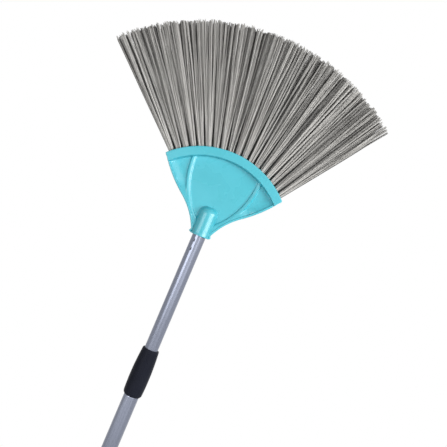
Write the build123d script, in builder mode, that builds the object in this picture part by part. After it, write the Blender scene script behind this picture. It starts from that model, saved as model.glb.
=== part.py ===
from build123d import *
import os
from math import cos, hypot, radians, sin, sqrt, tan

# A fan-shaped broom: a moulded head with two rows of bristle tufts, on a pole of two steel tubes
# that slide in each other and are locked by a twist.
# The pole's axis is +Z with the head up, the head's front looks along -Y, and the origin is the
# centre of the outer tube's lower end. Millimetres and degrees.

# Pole tubes
outer_diameter = 22.0
outer_length = 580.0
inner_length = 560.0
tube_wall = 0.5
tube_gap = 0.7  # radial gap between the two tubes
neck_step = 0.2  # how far the outer tube's top end is drawn in, all round
neck_taper = 1.0
exposed_length = 174.5  # inner tube that shows between the collar and the head

# Clearances
round_clearance = 0.05  # radial, between round pieces that fit in each other
end_clearance = 0.3  # between flat faces that turn against each other

# Collar and the guide bush inside it
collar_overlap = 53.0  # stretch of the outer tube inside the collar
collar_lip = 3.4
collar_top_wall = 1.25
collar_grip_wall = 3.55
collar_foot_wall = 2.9
collar_grip_drop = 43.0  # from the collar's top down to its widest place
collar_foot_round = 5.0
collar_edge = 0.35  # flat ring left at the collar's lower edge
collar_top_round = 0.8
bush_height = 14.0

# Twist lock at the inner tube's lower end
lock_angle = 46.0  # twist from free to locked, where the part rests
journal_diameter = 12.0
eccentricity = 0.55
lock_gap = 0.07  # what is left between the ring and the outer tube when locked
ring_height = 16.0
ring_slot = 2.5
plug_barrel = 40.0
plug_flange = 5.0
crimp_rise = 20.0  # from the tube's lower end up to the crimped groove
crimp_depth = 0.4
crimp_flat = 3.0
crimp_ramp = 1.5

# End cap with its hanging tongue
cap_barrel = 18.0
cap_flange = 3.0
cap_wall = 2.0
tongue_length = 25.0
tongue_width = 16.0
tongue_thickness = 7.0
tongue_round = 1.5
hang_hole_diameter = 9.0

# Fan head: heights and half widths are from the fan's centre, at the socket's mouth
fan_spread = 90.0
rim_radius = 126.5
rim_width = 12.5
rim_depth = 24.0
rim_round = 2.5
rim_end_round = 1.2
web_thickness = 5.0
flange_width = 3.3
flange_depth = 16.0
flange_flat = 0.9  # flat left between a flange's two rounded edges
waist_half_width = 45.0  # where each side flange turns from hollow to bulging, at its middle
waist_height = 46.3
waist_heading = 37.0
mouth_half_width = 11.0
mouth_rise = 0.6
rib_angle = 25.5  # from the pole's axis, where a rib runs into the rim
rib_foot_half_width = 17.3
rib_foot_height = 24.7
rib_bow = 7.3
rib_width = 5.0
rib_height = 3.0
rib_flat = 0.6  # flat left along a rib's crest
socket_depth = 34.0
socket_wall = 4.3
socket_floor = 9.5
socket_round = 10.5
mouth_bevel = 0.7
ear_half_width = 15.8  # to the tips of the two ears at the socket's mouth
ear_rise = 5.0
ear_tip = 1.2
ear_depth = 9.0

# Screw that holds the head on the inner tube, from the back
screw_height = 14.0
screw_diameter = 3.5
screw_head_diameter = 7.0
screw_head_height = 2.4
screw_seat_depth = 1.0
screw_length = 8.0
screw_point = 1.0
screw_recess_width = 0.9
screw_recess_span = 4.0
screw_recess_depth = 1.2

# Bristle tufts
front_tufts = 18
end_margin = 4.2  # degrees from the rim's end to the first tuft
row_tilt = 1.2
rim_wall = 3.1  # between a hole and the rim's face
hole_floor = 1.6  # between a hole and the rim's inner side
hole_diameter = 7.4
hole_lead = 1.0
tuft_sink = 0.2
bristle_length = 180.0  # the longest, out of the rim
tip_ragged = 7.0  # how much shorter the shortest strands are
ragged_lengths = 7  # how many different lengths the strands have
ragged_step = 5  # how many lengths further each next strand is, so that neighbours differ
strand_columns = 4
strand_rows = 3
strand_width = 1.1
strand_edge = 0.15  # between the outer strands and the tuft's round root
strand_set = 2.0  # how deep a strand is rooted in its tuft
column_tip_pitch = 5.8  # between strand tips along the fan
row_tip_pitch = 5.0  # between strand tips across the fan
anchor_gap = 0.3  # between an anchor's end and the hole's wall
anchor_height = 1.6
anchor_thickness = 0.5

# Radii and heights that follow from these
outer_radius = outer_diameter / 2
outer_bore = outer_radius - tube_wall
inner_radius = outer_bore - tube_gap
inner_bore = inner_radius - tube_wall
neck_radius = outer_radius - neck_step
neck_bore = outer_bore - neck_step
collar_bore = neck_radius + round_clearance
collar_foot = outer_length - collar_overlap
bush_foot = outer_length + end_clearance
bush_top = bush_foot + bush_height
lip_foot = bush_top + end_clearance
collar_top = lip_foot + collar_lip
fan_z = collar_top + exposed_length
inner_top = fan_z + socket_depth
inner_foot = inner_top - inner_length
socket_bore = inner_radius + round_clearance
boss_radius = socket_bore + socket_wall
boss_length = socket_depth + socket_floor
rim_middle = rim_radius - rim_width / 2
fan_radius = rim_radius + bristle_length
half_spread = radians(fan_spread / 2)
tuft_pitch = (fan_spread - 2 * end_margin) / (front_tufts - 1)
back_tufts = front_tufts - 1
hole_depth = rim_width - hole_floor
row_offset = rim_depth / 2 - rim_wall - hole_diameter / 2
tuft_radius = hole_diameter / 2 - round_clearance
strand_corner = strand_width / sqrt(2)
strand_reach = hypot((strand_columns - 1) / 2, (strand_rows - 1) / 2)
strand_pitch = (tuft_radius - strand_corner - strand_edge) / strand_reach

os.makedirs("parts", exist_ok=True)

fan_plane = Plane(origin=(0, 0, fan_z), x_dir=(1, 0, 0), z_dir=(0, -1, 0))
fan_axis = Axis((0, 0, fan_z), (0, 1, 0))


def finish(part, name):
    """Label a finished piece and write it to its own file."""
    part.label = name
    export_step(part, f"parts/{name}.step")


# Outer tube: drawn steel, its top end necked to take the collar
with BuildPart() as outer_tube:
    with BuildSketch(Plane.XZ):
        with BuildLine():
            Polyline(
                (outer_bore, 0),
                (outer_radius, 0),
                (outer_radius, collar_foot - neck_taper),
                (neck_radius, collar_foot),
                (neck_radius, outer_length),
                (neck_bore, outer_length),
                (neck_bore, collar_foot),
                (outer_bore, collar_foot - neck_taper),
                close=True,
            )
        make_face()
    revolve(axis=Axis.Z)
finish(outer_tube.part, "outer_tube")

# Collar: a smooth moulded sleeve on the necked end, widest near its lower end
grip_height = collar_top - collar_grip_drop
foot_height = collar_foot + collar_foot_round
with BuildPart() as collar:
    with BuildSketch(Plane.XZ):
        with BuildLine():
            grip = (collar_bore + collar_grip_wall, grip_height)
            side_top = (collar_bore + collar_top_wall, collar_top - collar_top_round)
            side_foot = (collar_bore + collar_foot_wall, foot_height)
            rim_top = (side_top[0] - collar_top_round, collar_top)
            edge = (collar_bore + collar_edge, collar_foot)
            TangentArc(grip, side_top, tangent=(0, 1))
            TangentArc(grip, side_foot, tangent=(0, -1))
            TangentArc(side_top, rim_top, tangent=(0, 1))
            TangentArc(side_foot, edge, tangent=(0, -1))
            Polyline(
                edge,
                (collar_bore, collar_foot),
                (collar_bore, lip_foot),
                (inner_radius + end_clearance, lip_foot),
                (inner_radius + end_clearance, collar_top),
                rim_top,
            )
        make_face()
    revolve(axis=Axis.Z)
finish(collar.part, "collar")

# Guide bush: a plain plastic ring on the outer tube's end, in which the inner tube slides
with BuildPart() as guide_bush:
    with BuildSketch(Plane.XY.offset(bush_foot)):
        Circle(collar_bore - round_clearance)
        Circle(inner_radius + round_clearance, mode=Mode.SUBTRACT)
    extrude(amount=bush_height)
finish(guide_bush.part, "guide_bush")

# End cap: a hollow plug in the outer tube's lower end, with a tongue to hang the broom by
tongue_foot = -cap_flange - tongue_length
hang_hole_z = tongue_foot + tongue_width / 2
with BuildPart() as end_cap:
    with BuildSketch(Plane.XY):
        Circle(outer_bore - round_clearance)
        Circle(outer_bore - round_clearance - cap_wall, mode=Mode.SUBTRACT)
    extrude(amount=cap_barrel)
    with BuildSketch(Plane.XY):
        Circle(outer_radius)
    extrude(amount=-cap_flange)
    with BuildSketch(Plane.XZ):
        with Locations((0, (hang_hole_z - cap_flange) / 2)):
            Rectangle(tongue_width, -cap_flange - hang_hole_z)
        with Locations((0, hang_hole_z)):
            Circle(tongue_width / 2)
    extrude(amount=tongue_thickness / 2, both=True)
    tongue_edges = end_cap.faces().filter_by(Plane.XZ).edges()
    fillet(tongue_edges.filter_by(lambda edge: edge.center().Z < -cap_flange - tongue_round), tongue_round)
    with BuildSketch(Plane.XZ):
        with Locations((0, hang_hole_z)):
            Circle(hang_hole_diameter / 2)
    extrude(amount=tongue_thickness, both=True, mode=Mode.SUBTRACT)
finish(end_cap.part, "end_cap")

# Inner tube: carries the head, with a groove rolled in near its lower end and a screw hole on top
crimp_z = inner_foot + crimp_rise


def crimp_line(radius, upward):
    """The rolled groove's corners on a wall of this radius, in the order that the outline needs."""
    half = crimp_flat / 2
    corners = [
        (radius, crimp_z - half - crimp_ramp),
        (radius - crimp_depth, crimp_z - half),
        (radius - crimp_depth, crimp_z + half),
        (radius, crimp_z + half + crimp_ramp),
    ]
    return corners if upward else corners[::-1]


screw_z = fan_z + screw_height
screw_seat = boss_radius - screw_seat_depth
screw_plane = Plane(origin=(0, screw_seat, screw_z), x_dir=(1, 0, 0), z_dir=(0, 1, 0))
with BuildPart() as inner_tube:
    with BuildSketch(Plane.XZ):
        with BuildLine():
            Polyline(
                (inner_bore, inner_foot),
                (inner_radius, inner_foot),
                *crimp_line(inner_radius, True),
                (inner_radius, inner_top),
                (inner_bore, inner_top),
                *crimp_line(inner_bore, False),
                close=True,
            )
        make_face()
    revolve(axis=Axis.Z)
    with BuildSketch(screw_plane):
        Circle(screw_diameter / 2 + round_clearance)
    extrude(amount=-screw_seat, mode=Mode.SUBTRACT)
finish(inner_tube.part, "inner_tube")

# Cam plug: its barrel is crimped in the inner tube, and an eccentric journal below carries the ring
barrel_radius = inner_bore - round_clearance
journal_foot = inner_foot - plug_flange - ring_height - 2 * end_clearance
journal_x = eccentricity * cos(radians(lock_angle))
journal_y = eccentricity * sin(radians(lock_angle))
with BuildPart() as cam_plug:
    with BuildSketch(Plane.XZ):
        with BuildLine():
            Polyline(
                (0, inner_foot - plug_flange),
                (inner_radius, inner_foot - plug_flange),
                (inner_radius, inner_foot),
                (barrel_radius, inner_foot),
                *crimp_line(barrel_radius, True),
                (barrel_radius, inner_foot + plug_barrel),
                (0, inner_foot + plug_barrel),
                close=True,
            )
        make_face()
    revolve(axis=Axis.Z)
    with BuildSketch(Plane.XY.offset(journal_foot)):
        with Locations((journal_x, journal_y)):
            Circle(journal_diameter / 2)
    extrude(amount=inner_foot - plug_flange - journal_foot)
    with BuildSketch(Plane.XY.offset(journal_foot)):
        Circle(inner_radius)
    extrude(amount=-plug_flange)
finish(cam_plug.part, "cam_plug")

# Cam ring: split so that it springs over the journal, and pushed off centre against the outer tube
lock_shift = 2 * eccentricity * sin(radians(lock_angle / 2))
ring_x = journal_x - eccentricity
ring_y = journal_y
with BuildPart() as cam_ring:
    with BuildSketch(Plane.XY.offset(journal_foot + end_clearance)):
        with Locations((ring_x, ring_y)):
            Circle(outer_bore - lock_shift - lock_gap)
        with Locations((journal_x, journal_y)):
            Circle(journal_diameter / 2 + round_clearance, mode=Mode.SUBTRACT)
        with Locations((ring_x - outer_radius / 2, ring_y)):
            Rectangle(outer_radius, ring_slot, mode=Mode.SUBTRACT)
    extrude(amount=ring_height)
finish(cam_ring.part, "cam_ring")


def tuft_planes(count, side):
    """A plane at each hole's mouth in one row, with its normal along the tuft and x along the fan."""
    planes = []
    for index in range(count):
        angle = radians((index - (count - 1) / 2) * tuft_pitch)
        tilt = radians(row_tilt)
        mouth = (rim_radius * sin(angle), side * row_offset, fan_z + rim_radius * cos(angle))
        outward = (sin(angle) * cos(tilt), side * sin(tilt), cos(angle) * cos(tilt))
        planes.append(Plane(origin=mouth, x_dir=(cos(angle), 0, -sin(angle)), z_dir=outward))
    return planes


front_planes = tuft_planes(front_tufts, -1)
back_planes = tuft_planes(back_tufts, 1)


def side_corner(side):
    """Where the middle of one side flange ends in the rim, from the fan's centre."""
    inset = flange_width / 2
    across = rim_middle * sin(half_spread) - inset * cos(half_spread)
    return side * across, rim_middle * cos(half_spread) + inset * sin(half_spread)


def side_line(side):
    """The middle line of one side flange, from the socket's mouth to the rim, as two smooth arcs."""
    waist = (side * waist_half_width, waist_height)
    rise = (side * cos(radians(waist_heading)), sin(radians(waist_heading)))
    with BuildLine() as line:
        TangentArc(waist, (side * mouth_half_width, mouth_rise), tangent=(-rise[0], -rise[1]))
        TangentArc(waist, side_corner(side), tangent=rise)
    return line.wires()[0]


# Head: a web between two side flanges and two ribs, with the rim that holds the tufts above it and the
# pole's socket below
rim_end = Plane(
    origin=(0, 0, fan_z),
    x_dir=(-sin(half_spread), 0, cos(half_spread)),
    z_dir=(-cos(half_spread), 0, -sin(half_spread)),
)
rib_x = rim_middle * sin(radians(rib_angle))
rib_z = rim_middle * cos(radians(rib_angle))
with BuildPart() as head:
    with BuildSketch(rim_end):
        with Locations((rim_middle, 0)):
            RectangleRounded(rim_width, rim_depth, rim_round)
    revolve(axis=fan_axis, revolution_arc=fan_spread)
    rim_ends = head.faces().filter_by(GeomType.PLANE).sort_by(Axis.X)
    fillet(rim_ends[0].edges() + rim_ends[-1].edges(), rim_end_round)
    with BuildSketch(fan_plane):
        with BuildLine():
            add(side_line(-1))
            add(side_line(1))
            Line((-mouth_half_width, mouth_rise), (mouth_half_width, mouth_rise))
            ThreePointArc(side_corner(-1), (0, rim_middle), side_corner(1))
        make_face()
    extrude(amount=web_thickness / 2, both=True)
    for side in (-1, 1):
        flange = fan_plane.location * side_line(side)
        with BuildSketch(Plane(origin=flange @ 0, x_dir=(0, 1, 0), z_dir=flange % 0)):
            RectangleRounded(flange_depth, flange_width, (flange_width - flange_flat) / 2)
        sweep(path=flange)
        with BuildLine(fan_plane):
            rib_foot = (side * rib_foot_half_width, rib_foot_height)
            rib = SagittaArc(rib_foot, (side * rib_x, rib_z), -side * rib_bow)
        with BuildSketch(Plane(origin=rib @ 0, x_dir=(0, 1, 0), z_dir=rib % 0)):
            RectangleRounded(web_thickness + 2 * rib_height, rib_width, (rib_width - rib_flat) / 2)
        sweep(path=rib)
    with BuildSketch(fan_plane):
        with BuildLine():
            Polyline(
                (0, boss_length),
                (0, 0),
                (boss_radius - mouth_bevel, 0),
                (boss_radius, mouth_bevel),
                (boss_radius, boss_length - socket_round),
            )
            shoulder = (boss_radius - socket_round, boss_length)
            TangentArc((boss_radius, boss_length - socket_round), shoulder, tangent=(0, 1))
            Line(shoulder, (0, boss_length))
        make_face()
    revolve(axis=Axis.Z)
    for side in (-1, 1):
        with BuildSketch(fan_plane):
            with BuildLine():
                Polyline(
                    (side * mouth_half_width, mouth_bevel),
                    (side * ear_half_width, mouth_bevel),
                    (side * ear_half_width, mouth_bevel + ear_tip),
                    (side * boss_radius, mouth_bevel + ear_rise),
                    (side * mouth_half_width, mouth_bevel + ear_rise),
                    close=True,
                )
            make_face()
        extrude(amount=ear_depth / 2, both=True)
    with BuildSketch(Plane.XY.offset(fan_z)):
        Circle(socket_bore)
    extrude(amount=socket_depth, mode=Mode.SUBTRACT)
    with BuildSketch(screw_plane):
        Circle(screw_head_diameter / 2 + end_clearance)
    extrude(amount=boss_radius, mode=Mode.SUBTRACT)
    with BuildSketch(screw_plane):
        Circle(screw_diameter / 2 + round_clearance)
    extrude(amount=-boss_radius, mode=Mode.SUBTRACT)
    for plane in front_planes + back_planes:
        with BuildSketch(plane.offset(hole_lead)):
            Circle(hole_diameter / 2)
    extrude(amount=-hole_lead - hole_depth, mode=Mode.SUBTRACT)
finish(head.part, "head")

# Head screw: a pan-headed tapping screw with a cross recess, from the back into the tube's wall
with BuildPart() as head_screw:
    with BuildSketch(screw_plane):
        Circle(screw_head_diameter / 2)
    extrude(amount=screw_head_height)
    head_top = head_screw.faces().sort_by(Axis.Y)[-1]
    fillet(head_top.edges(), screw_head_height / 2)
    with BuildSketch(screw_plane):
        Circle(screw_diameter / 2)
    extrude(amount=-screw_length)
    chamfer(head_screw.faces().sort_by(Axis.Y)[0].edges(), screw_point)
    with BuildSketch(screw_plane.offset(screw_head_height)):
        Rectangle(screw_recess_span, screw_recess_width)
        Rectangle(screw_recess_width, screw_recess_span)
    extrude(amount=-screw_recess_depth, mode=Mode.SUBTRACT)
finish(head_screw.part, "head_screw")


def strand(root, tip, across):
    """One bristle strand: a straight square filament from its root to its tip."""
    along = tip - root
    with BuildPart() as filament:
        with BuildSketch(Plane(origin=root, x_dir=across, z_dir=along)):
            Rectangle(strand_width, strand_width)
        extrude(amount=along.length)
    return filament.part


def tuft_strands(plane, index, count, side):
    """The strands of one tuft, which part evenly towards their tips so that none cross."""
    angle = radians((index - (count - 1) / 2) * tuft_pitch)
    tip_offset = row_offset + (fan_radius - rim_radius) * tan(radians(row_tilt))
    strands = []
    for column in range(strand_columns):
        across = column - (strand_columns - 1) / 2
        for row in range(strand_rows):
            deep = row - (strand_rows - 1) / 2
            root = plane.from_local_coords(Vector(across * strand_pitch, deep * strand_pitch, -strand_set))
            step = (ragged_step * (column * strand_rows + row) + index) % ragged_lengths
            radius = fan_radius - tip_ragged * step / (ragged_lengths - 1)
            tip_angle = angle + across * column_tip_pitch / fan_radius
            tip_y = side * tip_offset + deep * row_tip_pitch
            tip = Vector(radius * sin(tip_angle), tip_y, fan_z + radius * cos(tip_angle))
            strands.append(strand(root, tip, plane.x_dir))
    return strands


# Tufts: bundles of filament folded over a metal anchor and driven into the head's holes
tuft_floor = -hole_depth + anchor_height
for row_name, planes, side in (("front", front_planes, -1), ("back", back_planes, 1)):
    for index, plane in enumerate(planes):
        with BuildPart() as tuft:
            with BuildSketch(plane.offset(tuft_floor)):
                Circle(tuft_radius)
            extrude(amount=-tuft_sink - tuft_floor)
            add(tuft_strands(plane, index, len(planes), side))
        finish(tuft.part, f"{row_name}_tuft_{index + 1:02d}")
    with BuildPart() as anchors:
        for plane in planes:
            with BuildSketch(plane.offset(-hole_depth)):
                Rectangle(hole_diameter - 2 * anchor_gap, anchor_thickness)
        extrude(amount=anchor_height)
    finish(anchors.part, f"{row_name}_anchors")
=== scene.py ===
from math import atan, cos, exp, hypot, pi, radians, sin, sqrt

import bpy
import numpy as np
from mathutils import Matrix, Vector


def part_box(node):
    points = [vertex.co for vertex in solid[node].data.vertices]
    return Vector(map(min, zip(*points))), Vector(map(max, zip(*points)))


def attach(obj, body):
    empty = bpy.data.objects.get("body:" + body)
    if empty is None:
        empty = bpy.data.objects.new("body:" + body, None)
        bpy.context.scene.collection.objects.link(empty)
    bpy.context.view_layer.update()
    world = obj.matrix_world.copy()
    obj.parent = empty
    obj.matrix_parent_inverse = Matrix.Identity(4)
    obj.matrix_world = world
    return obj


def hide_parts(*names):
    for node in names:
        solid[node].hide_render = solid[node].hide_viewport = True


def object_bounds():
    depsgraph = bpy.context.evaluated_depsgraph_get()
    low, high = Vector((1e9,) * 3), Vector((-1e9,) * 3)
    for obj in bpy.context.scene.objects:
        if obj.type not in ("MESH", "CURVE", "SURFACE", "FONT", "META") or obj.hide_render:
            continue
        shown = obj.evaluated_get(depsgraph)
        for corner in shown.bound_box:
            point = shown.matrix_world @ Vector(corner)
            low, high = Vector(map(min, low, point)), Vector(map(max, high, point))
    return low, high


# A fan broom on a telescopic pole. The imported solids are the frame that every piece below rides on.
# The sections follow the broom from the pole's lower end up to the bristle tips, then the studio.
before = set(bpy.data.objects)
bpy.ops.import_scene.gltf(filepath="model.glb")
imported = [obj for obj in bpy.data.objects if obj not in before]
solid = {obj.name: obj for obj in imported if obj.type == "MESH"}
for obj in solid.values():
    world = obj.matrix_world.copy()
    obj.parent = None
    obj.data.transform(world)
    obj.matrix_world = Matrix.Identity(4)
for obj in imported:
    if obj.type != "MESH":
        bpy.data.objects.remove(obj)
cad_low, cad_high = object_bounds()
mm = 0.001


# Outer tube: thin steel rolled to a round tube, welded and lacquered silver grey, its upper end drawn
# in a little where the collar sits. The lacquer shows faint lines along the tube.
def linear(red, green, blue):
    """A colour as it is seen on a screen, 0 to 255, turned into what the shader reads."""
    channels = [value / 255 for value in (red, green, blue)]
    light = [c / 12.92 if c <= 0.04045 else ((c + 0.055) / 1.055) ** 2.4 for c in channels]
    return (*light, 1.0)


def put(tree, kind, sockets=None, **settings):
    """Add a node with its settings, and give each named socket a value or a link."""
    node = tree.nodes.new(kind)
    for name, value in settings.items():
        setattr(node, name, value)
    for socket, value in (sockets or {}).items():
        if isinstance(value, bpy.types.NodeSocket):
            tree.links.new(value, node.inputs[socket])
        else:
            node.inputs[socket].default_value = value
    return node


def start_finish(name, roughness, **sockets):
    """A new material: gives it, its node tree, its shader and the object's own coordinates."""
    finish = bpy.data.materials.new(name)
    finish.use_nodes = True
    tree = finish.node_tree
    shader = tree.nodes["Principled BSDF"]
    shader.inputs["Roughness"].default_value = roughness
    for socket, value in sockets.items():
        shader.inputs[socket.replace("_", " ")].default_value = value
    place = put(tree, "ShaderNodeTexCoord").outputs["Object"]
    return finish, tree, shader, place


def grain(tree, place, scale, detail=3.0, stretch=(1, 1, 1)):
    """Noise of this many waves per metre, drawn out along the axes whose stretch is below 1."""
    mapped = put(tree, "ShaderNodeMapping", {"Vector": place, "Scale": stretch}).outputs[0]
    sockets = {"Vector": mapped, "Scale": scale, "Detail": detail}
    return put(tree, "ShaderNodeTexNoise", sockets).outputs["Fac"]


def spread(tree, value, low, high, new_low, new_high):
    """Map a value from one range to another, held at the ends."""
    sockets = {"Value": value, "From Min": low, "From Max": high, "To Min": new_low, "To Max": new_high}
    return put(tree, "ShaderNodeMapRange", sockets).outputs["Result"]


def two_tone(tree, value, first, second):
    """A colour between two colours, by a value from 0 to 1."""
    sockets = {"Factor": value, 6: first, 7: second}
    return put(tree, "ShaderNodeMix", sockets, data_type="RGBA").outputs[2]


def paint(tree, shader, value, first, second):
    """Colour the surface between two screen colours, by a value from 0 to 1."""
    colour = two_tone(tree, value, linear(*first), linear(*second))
    tree.links.new(colour, shader.inputs["Base Color"])


def roughen(tree, shader, height, depth, strength=1.0):
    """Bump the surface by a height from 0 to 1 that stands for this depth in metres."""
    sockets = {"Height": height, "Distance": depth, "Strength": strength}
    tree.links.new(put(tree, "ShaderNodeBump", sockets).outputs[0], shader.inputs["Normal"])


def dress(node, finish):
    """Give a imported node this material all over."""
    mesh = solid[node].data
    mesh.materials.clear()
    mesh.materials.append(finish)


pole_lacquer, tree, shader, place = start_finish("pole_lacquer", 0.2, Specular_IOR_Level=0.4, Metallic=0.6)
draw_lines = grain(tree, place, 1500.0, 4.0, (1, 1, 0.012))
clouds = grain(tree, place, 28.0, 2.0, (1, 1, 0.35))
orange_peel = grain(tree, place, 900.0, 2.0, (1, 1, 0.1))
tone = spread(tree, draw_lines, 0.25, 0.75, 0.0, 1.0)
lacquer = two_tone(tree, tone, linear(119, 124, 139), linear(131, 136, 151))
# Painted shade: the dents are painted dark grey in the base colour, standing in for the shade in them.
painted_dent_shade = put(tree, "ShaderNodeAttribute", attribute_name="painted_dent_shade").outputs["Fac"]
tree.links.new(two_tone(tree, painted_dent_shade, lacquer, linear(44, 45, 50)), shader.inputs["Base Color"])
tree.links.new(spread(tree, clouds, 0.3, 0.7, 0.17, 0.23), shader.inputs["Roughness"])
roughen(tree, shader, orange_peel, 0.000002, 0.2)
dress("outer_tube", pole_lacquer)

# End cap: a black moulded plug pressed in the tube's foot, with a holed tongue to hang the broom by. It
# has the collar's satin black, with a fine spark-eroded grain.
collar_black, tree, shader, place = start_finish("collar_black", 0.46, Specular_IOR_Level=0.04)
spark_grain = grain(tree, place, 2200.0, 3.0)
handling = grain(tree, place, 45.0, 4.0)
tone = spread(tree, handling, 0.3, 0.7, 0.0, 1.0)
paint(tree, shader, tone, (27, 29, 38), (35, 37, 46))
tree.links.new(spread(tree, handling, 0.3, 0.7, 0.34, 0.46), shader.inputs["Roughness"])
roughen(tree, shader, spark_grain, 0.00006, 0.5)
dress("end_cap", collar_black)

# Collar: a smooth black sleeve moulded in one shot, pressed on the outer tube's necked end. It hides
# the joint of the two tubes and gives the hand its grip when the pole is twisted.
dress("collar", collar_black)

# Guide bush: a plain ring of natural white plastic inside the collar, in which the inner tube slides.
# Only its upper edge can be seen, down in the collar's mouth.
natural_white, tree, shader, place = start_finish("natural_white", 0.42)
flow = grain(tree, place, 90.0, 3.0)
tone = spread(tree, flow, 0.3, 0.7, 0.0, 1.0)
paint(tree, shader, tone, (222, 221, 212), (232, 231, 224))
roughen(tree, shader, grain(tree, place, 1500.0), 0.00003, 0.4)
dress("guide_bush", natural_white)

# Inner tube: the same lacquered steel, one size thinner, which carries the head. Two small dents just
# below the head come from the punch that sets the tube in the socket, and the shade in them is painted
# dark into the lacquer's colour.
tube_low, tube_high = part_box("inner_tube")
tube_radius = tube_high.x / mm
tube_wall = 0.5
dent_drops = (8.0, 21.2)
dent_angle = radians(-118.5)
dent_depth = 0.55
dent_width = 1.15
dent_zone_drops = (27.0, 2.0)
dent_ring_step = 0.5
dent_shade_falloff = 1.5
mouth_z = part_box("head")[0].z / mm
crimp_height = 20.0
crimp_z = tube_low.z / mm + crimp_height
crimp_depth = 0.4
crimp_half = 1.5
crimp_ramp = 1.5
plain_rings = (400.0, 560.0)


def piece_of(name, points, faces, finish, sharp=35.0):
    """A mesh object from points in millimetres, smooth but for edges sharper than this angle."""
    mesh = bpy.data.meshes.new(name)
    mesh.from_pydata([tuple(point) for point in np.asarray(points) * mm], [], [list(f) for f in faces])
    mesh.materials.append(finish)
    mesh.shade_smooth()
    mesh.set_sharp_from_angle(angle=radians(sharp))
    made = bpy.data.objects.new(name, mesh)
    bpy.context.scene.collection.objects.link(made)
    return made


def ring_faces(rings, around):
    """Quads between rings of points that close on themselves both ways."""
    faces = []
    for ring in range(rings):
        below = ring * around
        above = (ring + 1) % rings * around
        for step in range(around):
            beside = (step + 1) % around
            faces.append((below + step, below + beside, above + beside, above + step))
    return faces


def dented(radius, angle, height):
    """How far the tube's wall is pushed in at this place."""
    push = 0.0
    for drop in dent_drops:
        along = height - (mouth_z - drop)
        across = (angle - dent_angle + pi) % (2 * pi) - pi
        push += dent_depth * exp(-((across * radius) ** 2 + along**2) / (2 * dent_width**2))
    return push


dent_zone = np.arange(mouth_z - dent_zone_drops[0], mouth_z - dent_zone_drops[1], dent_ring_step)
tube_foot = tube_low.z / mm
tube_top = tube_high.z / mm
crimp_end = crimp_half + crimp_ramp
crimp_rings = [crimp_z + along for along in (-crimp_end, -crimp_half, crimp_half, crimp_end)]
heights = [tube_foot, *crimp_rings, *plain_rings, *dent_zone, tube_top]
outline = []
for height in heights:
    pressed = crimp_depth if abs(height - crimp_z) < crimp_half + crimp_ramp / 2 else 0.0
    outline.append((tube_radius - pressed, height))
outline += [(radius - tube_wall, height) for radius, height in outline[::-1]]
around = 128
tube_points = []
dent_shade_marks = []
for radius, height in outline:
    for step in range(around):
        angle = 2 * pi * step / around - pi
        push = dented(radius, angle, height)
        here = radius - push
        # Painted shade: how dark each point in a dent is painted.
        dent_shade_marks.append((push / dent_depth) ** dent_shade_falloff)
        tube_points.append((here * cos(angle), here * sin(angle), height))
inner_tube = piece_of("inner_tube_dented", tube_points, ring_faces(len(outline), around), pole_lacquer)
inner_tube.data.attributes.new("painted_dent_shade", "FLOAT", "POINT").data.foreach_set("value", dent_shade_marks)
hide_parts("inner_tube")
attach(inner_tube, "inner_pole")

# Twist lock: a plug of natural plastic crimped in the inner tube's foot, with an eccentric journal that
# presses a split grey ring on the outer tube's wall. Both are out of sight inside the pole.
ring_grey, tree, shader, place = start_finish("ring_grey", 0.5)
tone = spread(tree, grain(tree, place, 120.0), 0.3, 0.7, 0.0, 1.0)
paint(tree, shader, tone, (92, 94, 98), (106, 108, 112))
roughen(tree, shader, grain(tree, place, 1800.0), 0.00004, 0.4)
dress("cam_plug", natural_white)
dress("cam_ring", ring_grey)

# Fan head: one glossy turquoise moulding, the same front and back. A thin web lies between two side
# lips and two flat ribs, with the thick rim that holds the tufts above and the pole's socket below.
rim_radius = 126.5
rim_inner = 114.0
rim_draft = 1.3
rim_half_depth = 12.0
rim_edge = 0.7
rim_outer_edge = 1.0
rim_corner = 2.2
web_half = 2.5
lip_width = 3.0
lip_round = 1.5
lip_inner_round = 0.7
lip_wall = 0.4
lip_rise = (44.0, 62.0)
lip_top = 8.0
low_lip_top = 6.4
rib_rise = 3.0
rib_step_rise = 2.0
rib_step = 0.6
rib_crest = 4.7
rib_end = 7.0
rib_foot_reach = 1.6
rib_foot_rise = 0.5
rib_crown = 0.75
fillet_slope = 0.45
fillet_reach = 16.0
pocket_foot = (47.0, 66.0)
fan_spread = 90.0
half_spread = radians(fan_spread / 2)
lower_arc = (105.9, -34.6, 99.55)
upper_arc = (-68.3, 196.7, 189.95)
waist_height = 45.0
rib_arc = (-61.0, 100.7, 108.0)
ear_swell = 2.9
ear_height = 2.4
ear_reach = 2.0
boss_radius = 14.2
boss_length = 43.5
boss_round = 10.5
socket_bore = 9.85
socket_depth = 34.0


def ease(low, high, value):
    """Rise smoothly from 0 to 1 between two values."""
    share = min(max((value - low) / (high - low), 0.0), 1.0)
    return share * share * (3 - 2 * share)


def quarter(radius, along):
    """How far a rounded edge of this radius has dropped, this far before its end."""
    inside = min(max(radius - along, 0.0), radius)
    return radius - sqrt(radius * radius - inside * inside)


def side_half_width(height):
    """Half the fan's width at this height over the socket's mouth: two arcs, and the mouth's ears."""
    if height < waist_height:
        x, z, radius = lower_arc
        arc = x - sqrt(radius * radius - (height - z) ** 2)
    else:
        x, z, radius = upper_arc
        arc = x + sqrt(radius * radius - (height - z) ** 2)
    return arc + ear_swell * exp(-(((height - ear_height) / ear_reach) ** 2))


def floor_height(inset, height):
    """The half thickness of the floor beside the lip, which sweeps up to the lip in the pockets."""
    left = max(1 - (inset - lip_width) / fillet_reach, 0.0)
    return web_half + fillet_slope * fillet_reach / 2 * left * left * ease(*pocket_foot, height)


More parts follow.
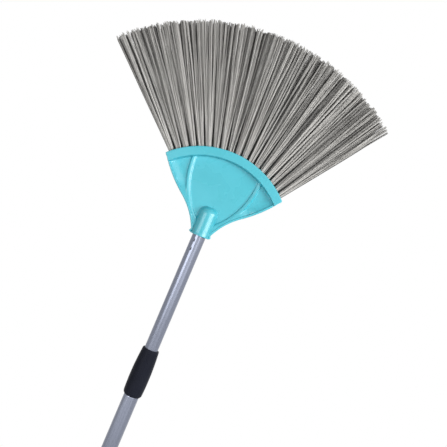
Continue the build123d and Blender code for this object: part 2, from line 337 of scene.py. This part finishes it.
def lip_height(inset, height):
    """The side lip's half depth, this far in from the fan's edge."""
    top = low_lip_top + (lip_top - low_lip_top) * ease(*lip_rise, height)
    if inset < lip_width / 2:
        return top - quarter(lip_round, inset)
    if inset < lip_width:
        return top - quarter(lip_inner_round, lip_width - inset)
    if inset < lip_width + lip_wall:
        foot = floor_height(lip_width + lip_wall, height)
        drop = (foot - top + lip_inner_round) * (inset - lip_width) / lip_wall
        return top - lip_inner_round + drop
    return floor_height(inset, height)


def rib_height(offset, height):
    """The half thickness this far outside a rib's inner side: a step, a crowned ramp and a fall."""
    if offset < -rib_foot_reach:
        return web_half
    if offset < 0.0:
        return web_half + rib_foot_rise * ((offset + rib_foot_reach) / rib_foot_reach) ** 2
    if offset < rib_step:
        return web_half + rib_foot_rise + (rib_step_rise - rib_foot_rise) * offset / rib_step
    if offset < rib_crest:
        up = (offset - rib_step) / (rib_crest - rib_step)
        return web_half + rib_step_rise + (rib_rise - rib_step_rise) * up * (1 + rib_crown - rib_crown * up)
    pocket = ease(*pocket_foot, height)
    fall = 0.5 - 0.5 * cos(pi * min((offset - rib_crest) / (rib_end - rib_crest), 1.0))
    return web_half + rib_rise * (1 - fall * pocket)


lip_stops = np.array([0, 0.1, 0.3, 0.6, 1.0, 1.5, 2.3, 2.55, 2.8, 2.93, 3.0, 3.2, 3.4])
foot_stops = np.array([3.9, 4.6, 5.5, 6.6, 8.0, 9.6, 11.4, 13.5, 16.0])
slope_stops = np.array([7.6, 7.0, 6.7, 6.3, 5.85, 5.4, 5.0])
rib_stops = np.array([4.7, 4.0, 3.3, 2.6, 1.9, 1.3, 0.9, 0.6, 0.45, 0.3, 0.15, 0.0, -0.3, -0.7, -1.1, -1.6])
pocket_steps = 12
web_steps = 34
rib_slant = 1.08
pocket_least = 1.0
pocket_share = 0.06
rib_room = (7.6, 4.0)
mouth_rows = np.linspace(0.6, 4.0, 8)
web_row_count = 80
row_samples = 600
least_rise = 1e-4
web_row_start = 4.6
round_rows_from = 40.0
web_clear = 1.5
corner_height = 80.5
rim_fillet = 0.8
rim_end_round = 1.2
fillet_steps = 5
edge_steps = 4
draft_half_depth = 7.0
rim_face_rings = (117.0, 119.0, 121.0, 123.0)
bulge_reach = 6.0


def row_insets(half_length, rib_inset):
    """Where a row's points lie, from the fan's edge to its middle: close together at the lip and rib."""
    foot_end = foot_stops[-1]
    slope_start = rib_inset - slope_stops[0] * rib_slant
    rib_start = rib_inset - rib_stops[0] * rib_slant
    if slope_start < foot_end + pocket_least:
        meet = (lip_stops[-1] + rib_start) / 2
        reach = (rib_start - lip_stops[-1]) * pocket_share
        foot_end = min(foot_end, meet - reach)
        slope_start = max(slope_start, meet + reach)
        if slope_start < foot_end + 2 * reach:
            foot_end = meet - reach
            slope_start = meet + reach
    lip_end = lip_stops[-1]
    foot = lip_end + (foot_stops - lip_end) * (foot_end - lip_end) / (foot_stops[-1] - lip_end)
    pocket = np.linspace(foot_end, slope_start, pocket_steps + 1)[1:-1]
    share = (slope_stops - rib_stops[0]) / (slope_stops[0] - rib_stops[0])
    slope = rib_start - share * (rib_start - slope_start)
    rib = rib_inset - rib_stops * rib_slant
    web = np.linspace(rib[-1], half_length, web_steps + 1)[1:]
    return np.concatenate([lip_stops, foot, pocket, slope, rib, web])


def fan_rows():
    """Each row across the fan: its end on the fan's edge, its top on the middle line, and its height."""
    rows = []
    web_top = rim_inner - rim_draft - web_clear
    corner_turn = atan(side_half_width(corner_height) / corner_height)
    edge_top = web_top * cos(corner_turn)
    for height in np.concatenate([mouth_rows, np.linspace(web_row_start, edge_top, web_row_count)]):
        wide = side_half_width(height)
        share = ease(round_rows_from, edge_top, height)
        top = height * sqrt(2.0) * (1 - share) + hypot(wide, height) * share
        rows.append((wide, height, top, web_half))
    foot = rim_inner - rim_draft - rim_fillet
    profile = []
    for step in range(1, fillet_steps + 1):
        turn = radians(90 * step / fillet_steps)
        profile.append((foot + rim_fillet * sin(turn), web_half + rim_fillet * (1 - cos(turn))))
    profile.append((rim_inner - rim_draft / 2, draft_half_depth))
    profile.append((rim_inner, rim_half_depth - rim_edge))
    for step in range(1, edge_steps + 1):
        turn = radians(90 * step / edge_steps)
        radius = rim_inner + rim_edge * (1 - cos(turn))
        profile.append((radius, rim_half_depth - rim_edge * (1 - sin(turn))))
    for radius in rim_face_rings:
        profile.append((radius, rim_half_depth))
    for step in range(fillet_steps + 1):
        turn = radians(90 * step / fillet_steps)
        radius = rim_radius - rim_outer_edge + rim_outer_edge * sin(turn)
        profile.append((radius, rim_half_depth - rim_outer_edge * (1 - cos(turn))))
    for radius, half_depth in profile:
        bulge = (corner_turn - half_spread) * (1 - ease(rim_inner, rim_inner + bulge_reach, radius))
        end = half_spread + bulge - quarter(rim_corner, rim_radius - radius) / radius
        rows.append((radius * sin(end), radius * cos(end), radius, half_depth))
    return rows


def fan_plate():
    """Points and faces of the closed plate with its rim, lips and ribs, from the socket's mouth up."""
    front = []
    for wide, height, top, half_depth in fan_rows():
        rise = max(top - height, least_rise)
        radius = (wide * wide + rise * rise) / (2 * rise)
        spread_angle = 2 * atan(rise / wide)
        half_length = radius * spread_angle
        turns = np.linspace(0.0, spread_angle, row_samples)
        xs = radius * np.sin(turns)
        zs = top - radius * (1 - np.cos(turns))
        beyond = np.nonzero(np.hypot(xs - rib_arc[0], zs - rib_arc[1]) > rib_arc[2])[0]
        crossing = half_length - turns[beyond[0]] * radius if len(beyond) else half_length * 0.5
        insets = row_insets(half_length, min(max(crossing, rib_room[0]), half_length - rib_room[1]))
        side = []
        for inset in insets:
            turn = spread_angle - inset / radius
            x = radius * sin(turn)
            z = top - radius * (1 - cos(turn))
            offset = hypot(x - rib_arc[0], z - rib_arc[1]) - rib_arc[2]
            end_drop = quarter(rim_end_round, inset) if half_depth > lip_top else 0.0
            swell = max(lip_height(inset, z), rib_height(offset, z))
            side.append((x, max(half_depth - end_drop, swell), z))
        front.append([(-x, deep, z) for x, deep, z in side] + [(x, deep, z) for x, deep, z in side[-2::-1]])
    rows = len(front)
    columns = len(front[0])
    points = []
    for face in (-1, 1):
        for row in front:
            points += [(x, face * deep, mouth_z + z) for x, deep, z in row]
    back = rows * columns
    faces = []
    for row in range(rows - 1):
        for column in range(columns - 1):
            a = row * columns + column
            b = a + columns
            faces.append((a, a + 1, b + 1, b))
            faces.append((back + a, back + b, back + b + 1, back + a + 1))
    border = list(range(columns))
    border += [row * columns + columns - 1 for row in range(1, rows)]
    border += [(rows - 1) * columns + column for column in range(columns - 2, -1, -1)]
    border += [row * columns for row in range(rows - 2, 0, -1)]
    for here, after in zip(border, border[1:] + border[:1]):
        faces.append((here, back + here, back + after, after))
    return points, faces


def turned_solid(name, outline, finish, segments=128):
    """A closed solid turned about the pole's axis from an outline that starts and ends on it."""
    points = [(0, 0, outline[0][1]), (0, 0, outline[-1][1])]
    rings = outline[1:-1]
    for radius, height in rings:
        for step in range(segments):
            angle = 2 * pi * step / segments
            points.append((radius * cos(angle), radius * sin(angle), height))
    faces = []
    last = 2 + (len(rings) - 1) * segments
    for step in range(segments):
        beside = (step + 1) % segments
        faces.append((0, 2 + beside, 2 + step))
        faces.append((1, last + step, last + beside))
        for ring in range(len(rings) - 1):
            low = 2 + ring * segments
            high = low + segments
            faces.append((low + step, low + beside, high + beside, high + step))
    return piece_of(name, points, faces, finish)


def combine(base, tool, operation):
    """Join a closed tool to a closed piece, or cut it out, and take the tool away."""
    change = base.modifiers.new(operation, "BOOLEAN")
    change.operation = operation
    change.solver = "MANIFOLD"
    change.object = tool
    depsgraph = bpy.context.evaluated_depsgraph_get()
    mesh = bpy.data.meshes.new_from_object(base.evaluated_get(depsgraph))
    base.modifiers.clear()
    base.data = mesh
    bpy.data.objects.remove(tool)


front_count = 18
back_count = 17
end_margin = 4.2
tuft_pitch = radians((fan_spread - 2 * end_margin) / (front_count - 1))
row_offset = 5.2
row_tilt = radians(1.2)
hole_radius = 3.7
hole_depth = 11.0
drill_lead = 1.0
drill_sides = 28
seat_radius = 3.8
seat_depth = 1.0
seat_height = 14.0
seat_tool_length = 8.0
seat_sides = 48
boss_steps = 16
head_sharp = 32.0
mouth_clear = 1.0
mouth_bead = ((-0.6, 0), (0.1, 0.25), (0.45, 0.8), (0.5, 1.5), (0.35, 2.2), (0.08, 2.8), (0, 3.4))


def tuft_angles(count):
    """The angle of each tuft in a row, from the pole's axis."""
    return [(index - (count - 1) / 2) * tuft_pitch for index in range(count)]


def store(mesh, name, vectors):
    """Keep a vector for each point of a mesh under this name."""
    mesh.attributes.new(name, "FLOAT_VECTOR", "POINT").data.foreach_set("vector", np.ravel(vectors))


def tuft_row(name, count, side):
    """A point at every hole's mouth in one row, with the way that its tuft runs out of the rim."""
    points = []
    outward = []
    for angle in tuft_angles(count):
        points.append((rim_radius * sin(angle), side * row_offset, mouth_z + rim_radius * cos(angle)))
        outward.append((sin(angle) * cos(row_tilt), side * sin(row_tilt), cos(angle) * cos(row_tilt)))
    mesh = bpy.data.meshes.new(name)
    mesh.from_pydata([tuple(point) for point in np.array(points) * mm], [], [])
    store(mesh, "out", outward)
    row = bpy.data.objects.new(name, mesh)
    bpy.context.scene.collection.objects.link(row)
    return row


def new_group(name, inputs):
    """An empty node group with named inputs and one geometry output: gives it and its inputs."""
    tree = bpy.data.node_groups.new(name, "GeometryNodeTree")
    for label, kind in inputs.items():
        tree.interface.new_socket(label, in_out="INPUT", socket_type="NodeSocket" + kind)
    tree.interface.new_socket("Geometry", in_out="OUTPUT", socket_type="NodeSocketGeometry")
    return tree, put(tree, "NodeGroupInput").outputs


def run_nodes(made, tree, values):
    """Put an object through a node group with these inputs, and leave it as a plain mesh."""
    nodes = made.modifiers.new(tree.name, "NODES")
    nodes.node_group = tree
    for item in tree.interface.items_tree:
        if item.in_out == "INPUT" and item.name in values:
            nodes[item.identifier] = values[item.name]
    finished = made.evaluated_get(bpy.context.evaluated_depsgraph_get())
    made.data = bpy.data.meshes.new_from_object(finished)
    made.modifiers.clear()


def drill_tree():
    """Geometry nodes that drill a blind round hole into a solid at every tuft point."""
    inputs = {"Solid": "Geometry", "Tuft points": "Object", "Radius": "Float", "Depth": "Float"}
    inputs |= {"Lead": "Float", "Sides": "Int", "Finish": "Material"}
    tree, given = new_group("tuft_holes", inputs)
    mouths = put(tree, "GeometryNodeObjectInfo", {"Object": given["Tuft points"]}).outputs["Geometry"]
    mouths = put(tree, "GeometryNodeMeshToPoints", {"Mesh": mouths}).outputs[0]
    lead = given["Lead"]
    depth = given["Depth"]
    length = put(tree, "ShaderNodeMath", {0: depth, 1: lead}, operation="ADD").outputs[0]
    middle = put(tree, "ShaderNodeMath", {0: lead, 1: depth}, operation="SUBTRACT").outputs[0]
    middle = put(tree, "ShaderNodeMath", {0: middle, 1: 0.5}, operation="MULTIPLY").outputs[0]
    sockets = {"Vertices": given["Sides"], "Radius": given["Radius"], "Depth": length}
    drill = put(tree, "GeometryNodeMeshCylinder", sockets).outputs["Mesh"]
    shift = put(tree, "ShaderNodeCombineXYZ", {"Z": middle}).outputs[0]
    drill = put(tree, "GeometryNodeTransform", {"Geometry": drill, "Translation": shift}).outputs[0]
    outward = put(tree, "GeometryNodeInputNamedAttribute", {"Name": "out"}, data_type="FLOAT_VECTOR")
    sockets = {"Vector": outward.outputs[0]}
    turn = put(tree, "FunctionNodeAlignRotationToVector", sockets, axis="Z").outputs[0]
    sockets = {"Points": mouths, "Instance": drill, "Rotation": turn}
    drills = put(tree, "GeometryNodeInstanceOnPoints", sockets).outputs[0]
    drills = put(tree, "GeometryNodeRealizeInstances", {"Geometry": drills}).outputs[0]
    cut = put(tree, "GeometryNodeMeshBoolean", operation="DIFFERENCE", solver="MANIFOLD")
    tree.links.new(given["Solid"], cut.inputs["Mesh 1"])
    tree.links.new(drills, cut.inputs["Mesh 2"])
    mesh = put(tree, "GeometryNodeRealizeInstances", {"Geometry": cut.outputs["Mesh"]}).outputs[0]
    mesh = put(tree, "GeometryNodeSetMaterial", {"Geometry": mesh, "Material": given["Finish"]}).outputs[0]
    put(tree, "NodeGroupOutput", {0: mesh})
    return tree


head_turquoise, tree, shader, place = start_finish("head_turquoise", 0.27, Specular_IOR_Level=0.7)
flow = grain(tree, place, 22.0, 3.0)
sink = grain(tree, place, 70.0, 1.5)
fine = grain(tree, place, 1900.0, 2.0)
tone = spread(tree, flow, 0.3, 0.7, 0.0, 1.0)
paint(tree, shader, tone, (66, 178, 193), (74, 183, 199))
tree.links.new(spread(tree, flow, 0.3, 0.7, 0.25, 0.3), shader.inputs["Roughness"])
height = put(tree, "ShaderNodeMath", {0: fine, 1: 0.06, 2: sink}, operation="MULTIPLY_ADD").outputs[0]
roughen(tree, shader, height, 0.0003, 0.35)

plate_points, plate_faces = fan_plate()
fan_head = piece_of("fan_head", plate_points, plate_faces, head_turquoise)
boss = [(0, 0)]
boss += [(boss_radius + outward, rise) for outward, rise in mouth_bead]
boss.append((boss_radius, boss_length - boss_round))
for step in range(1, boss_steps + 1):
    turn = radians(90 * step / boss_steps)
    boss.append((boss_radius - boss_round * (1 - cos(turn)), boss_length - boss_round * (1 - sin(turn))))
boss.append((0, boss_length))
boss = turned_solid("boss", [(radius, mouth_z + height) for radius, height in boss], head_turquoise)
combine(fan_head, boss, "UNION")
bore = [(0, -mouth_clear), (socket_bore, -mouth_clear), (socket_bore, socket_depth), (0, socket_depth)]
bore = turned_solid("bore", [(radius, mouth_z + height) for radius, height in bore], head_turquoise)
combine(fan_head, bore, "DIFFERENCE")
seat = [(0, 0), (seat_radius, 0), (seat_radius, seat_tool_length), (0, seat_tool_length)]
seat = turned_solid("seat", seat, head_turquoise, seat_sides)
seat_place = Vector((0, boss_radius - seat_depth, mouth_z + seat_height)) * mm
seat.data.transform(Matrix.Translation(seat_place) @ Matrix.Rotation(radians(-90), 4, "X"))
combine(fan_head, seat, "DIFFERENCE")
front_row = tuft_row("front_bristles", front_count, -1)
back_row = tuft_row("back_bristles", back_count, 1)
drills = {"Radius": hole_radius * mm, "Depth": hole_depth * mm, "Lead": drill_lead * mm}
drills |= {"Sides": drill_sides, "Finish": head_turquoise}
tuft_holes = drill_tree()
for row in (front_row, back_row):
    run_nodes(fan_head, tuft_holes, {"Tuft points": row, **drills})
fan_head.data.shade_smooth()
fan_head.data.set_sharp_from_angle(angle=radians(head_sharp))
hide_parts("head")
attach(fan_head, "inner_pole")

# Head screw: a zinc-plated steel pan-head tapping screw. It is driven from the back through the socket
# into the inner tube, and keeps the head from turning on the pole.
zinc, tree, shader, place = start_finish("zinc", 0.32, Metallic=1.0)
plating = grain(tree, place, 700.0, 4.0)
tone = spread(tree, plating, 0.3, 0.7, 0.0, 1.0)
paint(tree, shader, tone, (176, 178, 184), (206, 207, 210))
tree.links.new(spread(tree, plating, 0.3, 0.7, 0.24, 0.42), shader.inputs["Roughness"])
dress("head_screw", zinc)

# Anchors: short flat pieces of galvanised wire, driven into the holes over the folded bristles. They are
# out of sight at the bottom of the holes.
dress("front_anchors", zinc)
dress("back_anchors", zinc)

# Bristles: two staggered rows of tufts of stiff grey filament, each folded over its anchor and driven
# into a hole in the rim. The filaments part into locks that fan out until the tufts merge, end ragged,
# and have taken a set to one side from leaning in use.
fan_radius = 305.5
tip_gather = 0.968
tip_offset = 6.0
tip_lean = radians(-3.5)
streak_depth = 0.18
side_shade = 0.42
root_lift = 0.18
tip_lift = 0.07
tone_range = (-0.27, 1.35)
tuft_tones = 0.08
lock_tones = 0.4
filament_tones = 0.12
# Painted shade: how much darker the locks on a row's inner side are painted.
row_inside_shade = 0.7
strand_points = 10
strand_sides = 3
tip_taper = 0.2
opening = 0.85
ragged_power = 1.5
front_seed = 11
back_seed = 47
bristle_grey, tree, shader, place = start_finish("bristle_grey", 0.42, Specular_IOR_Level=0.3)
own_tone = put(tree, "ShaderNodeAttribute", attribute_name="tone").outputs["Fac"]
far = put(tree, "ShaderNodeAttribute", attribute_name="far").outputs["Fac"]
lock_tone = put(tree, "ShaderNodeAttribute", attribute_name="lock_tone").outputs["Fac"]
along_lock = put(tree, "ShaderNodeCombineXYZ", {"X": far, "Y": lock_tone}).outputs[0]
streak = grain(tree, along_lock, 1.0, 2.0, (6.0, 90.0, 1.0))
streak = spread(tree, streak, 0.3, 0.7, -streak_depth, streak_depth)
tone = put(tree, "ShaderNodeMath", {0: streak, 1: own_tone}, operation="ADD").outputs[0]
# Painted shade: locks at a tuft's sides are painted darker along the middle of their length, where the
# neighbouring tufts shade them.
beside = put(tree, "ShaderNodeAttribute", attribute_name="beside").outputs["Fac"]
to_tip = put(tree, "ShaderNodeMath", {0: 1.0, 1: far}, operation="SUBTRACT").outputs[0]
in_shade = put(tree, "ShaderNodeMath", {0: far, 1: to_tip}, operation="MULTIPLY").outputs[0]
in_shade = spread(tree, in_shade, 0.0, 0.25, 0.0, -side_shade)
tone = put(tree, "ShaderNodeMath", {0: beside, 1: in_shade, 2: tone}, operation="MULTIPLY_ADD").outputs[0]
lift = spread(tree, far, 0.0, 1.0, root_lift, tip_lift)
tone = put(tree, "ShaderNodeMath", {0: tone, 1: lift}, operation="ADD").outputs[0]
tone = spread(tree, tone, *tone_range, 0.0, 1.0)
paint(tree, shader, tone, (38, 37, 36), (212, 210, 206))


def bristle_tree():
    """Geometry nodes that grow a tuft out of every point: locks first, then the filaments of each lock."""
    inputs = {"Tuft points": "Geometry", "Locks": "Int", "Filaments": "Int"}
    inputs |= {"Root radius": "Float", "Root depth": "Float"}
    inputs |= {"Tip half width": "Float", "Tip half depth": "Float"}
    inputs |= {"Lock root": "Float", "Lock tip": "Float", "Lock raggedness": "Float", "Raggedness": "Float"}
    inputs |= {"Sway": "Float", "Thickness": "Float", "Outside": "Float"}
    inputs |= {"Seed": "Int", "Finish": "Material"}
    tree, given = new_group("bristle_row", inputs)

    def chance(low, high, draw):
        """A random number for each point, the same on every run."""
        seed = put(tree, "ShaderNodeMath", {0: given["Seed"], 1: float(draw)}, operation="ADD").outputs[0]
        sockets = {2: low, 3: high, 8: seed}
        return put(tree, "FunctionNodeRandomValue", sockets, data_type="FLOAT").outputs[1]

    def count(operation, first, second=0.0):
        return put(tree, "ShaderNodeMath", {0: first, 1: second}, operation=operation).outputs[0]

    def times(direction, amount):
        sockets = {0: direction, "Scale": amount}
        return put(tree, "ShaderNodeVectorMath", sockets, operation="SCALE").outputs[0]

    def plus(first, second):
        return put(tree, "ShaderNodeVectorMath", {0: first, 1: second}, operation="ADD").outputs[0]

    def read(name, kind="FLOAT_VECTOR"):
        return put(tree, "GeometryNodeInputNamedAttribute", {"Name": name}, data_type=kind).outputs[0]

    def keep(geometry, name, value, kind="FLOAT_VECTOR"):
        sockets = {"Geometry": geometry, "Name": name, "Value": value}
        return put(tree, "GeometryNodeStoreNamedAttribute", sockets, data_type=kind).outputs[0]

    def copies(geometry, amount):
        return put(tree, "GeometryNodeDuplicateElements", {0: geometry, 2: amount}, domain="POINT").outputs

    tufts = put(tree, "GeometryNodeMeshToPoints", {"Mesh": given["Tuft points"]}).outputs[0]
    tufts = keep(tufts, "tuft_tone", chance(-tuft_tones, tuft_tones, 9), "FLOAT")
    locks, lock_number = copies(tufts, given["Locks"])
    share = count("DIVIDE", count("ADD", lock_number, chance(0.2, 0.8, 1)), given["Locks"])
    share = count("SUBTRACT", count("MULTIPLY", share, 2.0), 1.0)
    room = count("SQRT", count("SUBTRACT", 1.0, count("MULTIPLY", share, share)))
    layer = chance(-1.0, 1.0, 2)
    depth = count("MULTIPLY", layer, room)
    mouth = put(tree, "GeometryNodeInputPosition").outputs[0]
    root_along = count("MULTIPLY", share, given["Root radius"])
    root_across = count("MULTIPLY", depth, given["Root radius"])
    root = plus(mouth, plus(times(read("along"), root_along), times(read("across"), root_across)))
    root = plus(root, times(read("out"), count("MULTIPLY", given["Root depth"], -1.0)))
    tip_along = count("MULTIPLY", share, given["Tip half width"])
    tip_across = count("MULTIPLY", count("ADD", depth, chance(-0.35, 0.35, 3)), given["Tip half depth"])
    short = count("MULTIPLY", chance(-1.0, 0.0, 4), given["Lock raggedness"])
    tip = plus(read("tip"), plus(times(read("tip_along"), tip_along), times(read("across"), tip_across)))
    tip = plus(tip, times(read("tip_out"), short))
    locks = keep(locks, "root", root)
    locks = keep(locks, "tip", tip)
    # Painted shade: locks on the row's inner side, facing the other row, are painted darker, as the gap
    # between the rows lies in shade.
    outer = count("MULTIPLY", count("ADD", count("MULTIPLY", layer, given["Outside"]), 1.0), 0.5)
    lock_tone = count("ADD", count("MULTIPLY", outer, row_inside_shade), chance(0.0, lock_tones, 5))
    locks = keep(locks, "lock_tone", count("ADD", lock_tone, read("tuft_tone", "FLOAT")), "FLOAT")
    locks = keep(locks, "beside", count("MULTIPLY", share, share), "FLOAT")
    locks = keep(locks, "phase", chance(0.0, 2 * pi, 6), "FLOAT")
    locks = keep(locks, "pace", chance(2.5, 6.5, 7), "FLOAT")
    locks = keep(locks, "sway", count("MULTIPLY", chance(-1.0, 1.0, 8), given["Sway"]), "FLOAT")

    strands = copies(locks, given["Filaments"])[0]
    turn = chance(0.0, 2 * pi, 11)
    reach = count("SQRT", chance(0.0, 1.0, 12))
    side = count("MULTIPLY", count("COSINE", turn), reach)
    deep = count("MULTIPLY", count("SINE", turn), reach)
    at_root = plus(times(read("along"), side), times(read("across"), deep))
    at_tip = plus(times(read("tip_along"), side), times(read("across"), deep))
    short = count("MULTIPLY", count("POWER", chance(0.0, 1.0, 13), ragged_power), given["Raggedness"])
    tip = plus(read("tip"), times(at_tip, given["Lock tip"]))
    tip = plus(tip, times(read("tip_out"), count("MULTIPLY", short, -1.0)))
    strands = keep(strands, "tip", tip)
    strands = keep(strands, "root", plus(read("root"), times(at_root, given["Lock root"])))
    tone = count("ADD", read("lock_tone", "FLOAT"), chance(-filament_tones, filament_tones, 14))
    strands = keep(strands, "tone", tone, "FLOAT")
    strands = keep(strands, "phase", count("ADD", read("phase", "FLOAT"), chance(-0.9, 0.9, 15)), "FLOAT")

    line = put(tree, "GeometryNodeCurvePrimitiveLine").outputs[0]
    line = put(tree, "GeometryNodeResampleCurve", {"Curve": line, "Count": strand_points}).outputs[0]
    strands = put(tree, "GeometryNodeInstanceOnPoints", {"Points": strands, "Instance": line}).outputs[0]
    strands = put(tree, "GeometryNodeRealizeInstances", {"Geometry": strands}).outputs[0]
    far = put(tree, "GeometryNodeSplineParameter").outputs["Factor"]
    opened = count("POWER", far, opening)
    straight = plus(times(read("root"), count("SUBTRACT", 1.0, opened)), times(read("tip"), opened))
    turn = count("ADD", count("MULTIPLY", far, read("pace", "FLOAT")), read("phase", "FLOAT"))
    free = count("MULTIPLY", far, count("SUBTRACT", 1.8, far))
    sway = count("MULTIPLY", count("MULTIPLY", count("SINE", turn), free), read("sway", "FLOAT"))
    sway_deep = count("MULTIPLY", count("MULTIPLY", count("COSINE", turn), free), read("sway", "FLOAT"))
    bent = plus(straight, plus(times(read("along"), sway), times(read("across"), sway_deep)))
    strands = put(tree, "GeometryNodeSetPosition", {"Geometry": strands, "Position": bent}).outputs[0]
    strands = keep(strands, "far", far, "FLOAT")
    half = count("MULTIPLY", given["Thickness"], 0.5)
    sockets = {"Resolution": strand_sides, "Radius": half}
    profile = put(tree, "GeometryNodeCurvePrimitiveCircle", sockets).outputs[0]
    taper = count("SUBTRACT", 1.0, count("MULTIPLY", far, tip_taper))
    sockets = {"Curve": strands, "Profile Curve": profile, "Scale": taper, "Fill Caps": True}
    mesh = put(tree, "GeometryNodeCurveToMesh", sockets).outputs[0]
    mesh = put(tree, "GeometryNodeRealizeInstances", {"Geometry": mesh}).outputs[0]
    mesh = put(tree, "GeometryNodeSetMaterial", {"Geometry": mesh, "Material": given["Finish"]}).outputs[0]
    put(tree, "NodeGroupOutput", {0: mesh})
    return tree


def grow(row, count, side, seed, tree, tuft_nodes):
    """Turn a row of tuft points into bristles, a plain mesh that stands for the row's solid tufts."""
    along = []
    tips = []
    tip_along = []
    tip_out = []
    tip_y = side * tip_offset
    for angle in tuft_angles(count):
        lean = angle * tip_gather + tip_lean
        along.append((cos(angle), 0, -sin(angle)))
        tips.append((fan_radius * sin(lean), tip_y, mouth_z + fan_radius * cos(lean)))
        tip_along.append((cos(lean), 0, -sin(lean)))
        tip_out.append((sin(lean), 0, cos(lean)))
    store(row.data, "along", along)
    store(row.data, "across", [(0, 1, 0)] * count)
    store(row.data, "tip", np.array(tips) * mm)
    store(row.data, "tip_along", tip_along)
    store(row.data, "tip_out", tip_out)
    sizes = {
        "Locks": 20,
        "Filaments": 8,
        "Root radius": 3.0 * mm,
        "Root depth": 2.0 * mm,
        "Tip half width": 13.6 * mm,
        "Tip half depth": 6.5 * mm,
        "Lock root": 0.5 * mm,
        "Lock tip": 1.1 * mm,
        "Lock raggedness": 3.6 * mm,
        "Raggedness": 4.4 * mm,
        "Sway": 2.0 * mm,
        "Thickness": 0.95 * mm,
        "Outside": float(side),
        "Seed": seed,
        "Finish": bristle_grey,
    }
    run_nodes(row, tree, sizes)
    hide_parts(*tuft_nodes)
    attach(row, "inner_pole")


rows_of_bristles = bristle_tree()
front_tufts = [f"front_tuft_{i:02d}" for i in range(1, front_count + 1)]
back_tufts = [f"back_tuft_{i:02d}" for i in range(1, back_count + 1)]
grow(front_row, front_count, -1, front_seed, rows_of_bristles, front_tufts)
grow(back_row, back_count, 1, back_seed, rows_of_bristles, back_tufts)

# Studio: the camera as the photo has it, level with the head and rolled, so that the pole leans. A pale
# floor lies under the pole's foot, in a white room with soft lamps around the camera.
roll = radians(23.0)
image_right = Vector((cos(roll), 0.0, sin(roll)))
image_up = Vector((-sin(roll), 0.0, cos(roll)))
to_camera = Vector((0.0, -1.0, 0.0))
aim_right = 0.0345
aim_up = 0.0175
aim = Vector((0.0, 0.0, mouth_z * mm)) + image_right * aim_right + image_up * aim_up
camera_distance = 0.9
lens = bpy.data.cameras.new("camera")
lens.sensor_width = 36.0
lens.lens = 51.05
lens.clip_start = 0.05
camera = bpy.data.objects.new("camera", lens)
turn = Matrix((image_right, image_up, to_camera)).transposed().to_4x4()
camera.matrix_world = Matrix.Translation(aim + to_camera * camera_distance) @ turn
bpy.context.scene.collection.objects.link(camera)
bpy.context.scene.camera = camera


def soft_box(name, sideways, distance, low, high, width, power):
    """An upright lamp this many degrees beside the camera, between two heights, turned to the pole."""
    lamp = bpy.data.lights.new(name, "AREA")
    lamp.shape = "RECTANGLE"
    lamp.size = width
    lamp.size_y = high - low
    lamp.energy = power
    ray = Vector((sin(radians(sideways)), -cos(radians(sideways)), 0.0))
    up = Vector((0.0, 0.0, 1.0))
    made = bpy.data.objects.new(name, lamp)
    middle = ray * distance + up * (low + high) / 2
    made.matrix_world = Matrix.Translation(middle) @ Matrix((up.cross(ray), up, ray)).transposed().to_4x4()
    bpy.context.scene.collection.objects.link(made)


# The left box draws the pole's bright line, the right box throws the rim's shadow, and the low boxes are
# what the outer tube mirrors.
soft_box("box_left", -32.0, 1.25, 0.58, 0.95, 0.8, 4.5)
soft_box("box_left_low", -32.0, 1.25, 0.42, 0.58, 0.8, 0.95)
soft_box("box_right", 52.0, 1.4, 0.88, 1.5, 1.0, 22.0)
soft_box("strip_right", 28.0, 1.4, 0.73, 1.2, 0.34, 1.9)
soft_box("strip_right_low", 19.0, 1.4, 0.42, 0.73, 1.5, 1.9)
soft_box("box_low", -12.0, 1.3, 0.0, 0.22, 1.7, 1.05)
soft_box("box_low_left", -58.0, 1.3, 0.0, 0.22, 1.0, 0.6)
soft_box("box_low_right", 38.0, 1.3, 0.0, 0.22, 0.7, 0.32)
soft_box("box_high", 12.0, 1.4, 1.3, 1.7, 0.6, 2.0)

floor_gap = 0.0005
floor_z = cad_low.z - floor_gap
floor_radius = 0.7
floor_sides = 96
floor_white, tree, shader, place = start_finish("floor_white", 0.7)
tone = spread(tree, grain(tree, place, 3.0), 0.3, 0.7, 0.0, 1.0)
paint(tree, shader, tone, (236, 236, 236), (240, 240, 240))
floor_turns = [2 * pi * step / floor_sides for step in range(floor_sides)]
floor_edge = [(floor_radius * cos(turn), floor_radius * sin(turn), floor_z) for turn in floor_turns]
disc = bpy.data.meshes.new("floor")
disc.from_pydata(floor_edge, [], [list(range(floor_sides))])
disc.materials.append(floor_white)
floor = bpy.data.objects.new("floor", disc)
bpy.context.scene.collection.objects.link(floor)

room = bpy.data.worlds.new("white_room")
room.use_nodes = True
bpy.context.scene.world = room
tree = room.node_tree
rays = put(tree, "ShaderNodeLightPath").outputs
sockets = {0: rays["Is Camera Ray"], 1: rays["Is Glossy Ray"]}
seen = put(tree, "ShaderNodeMath", sockets, operation="MAXIMUM").outputs[0]
sockets = {0: seen, 1: rays["Is Transmission Ray"]}
seen = put(tree, "ShaderNodeMath", sockets, operation="MAXIMUM").outputs[0]
fill_from = Vector((0.2, 0.94, 0.28))
fill_behind = 1.6
fill_around = 0.02
fill_focus = 2.0
sky = put(tree, "ShaderNodeTexCoord").outputs["Generated"]
facing = put(tree, "ShaderNodeVectorMath", {0: sky, 1: fill_from}, operation="DOT_PRODUCT").outputs["Value"]
facing = put(tree, "ShaderNodeMath", {0: facing, 1: 0.0}, operation="MAXIMUM").outputs[0]
glow = put(tree, "ShaderNodeMath", {0: facing, 1: fill_focus}, operation="POWER").outputs[0]
sockets = {0: glow, 1: fill_behind, 2: fill_around}
glow = put(tree, "ShaderNodeMath", sockets, operation="MULTIPLY_ADD").outputs[0]
strength = put(tree, "ShaderNodeMix", {"Factor": seen, "A": glow, "B": 1.0}).outputs["Result"]
background = tree.nodes["Background"]
background.inputs["Color"].default_value = (1.0, 1.0, 1.0, 1.0)
tree.links.new(strength, background.inputs["Strength"])
bpy.context.scene.view_settings.view_transform = "Standard"
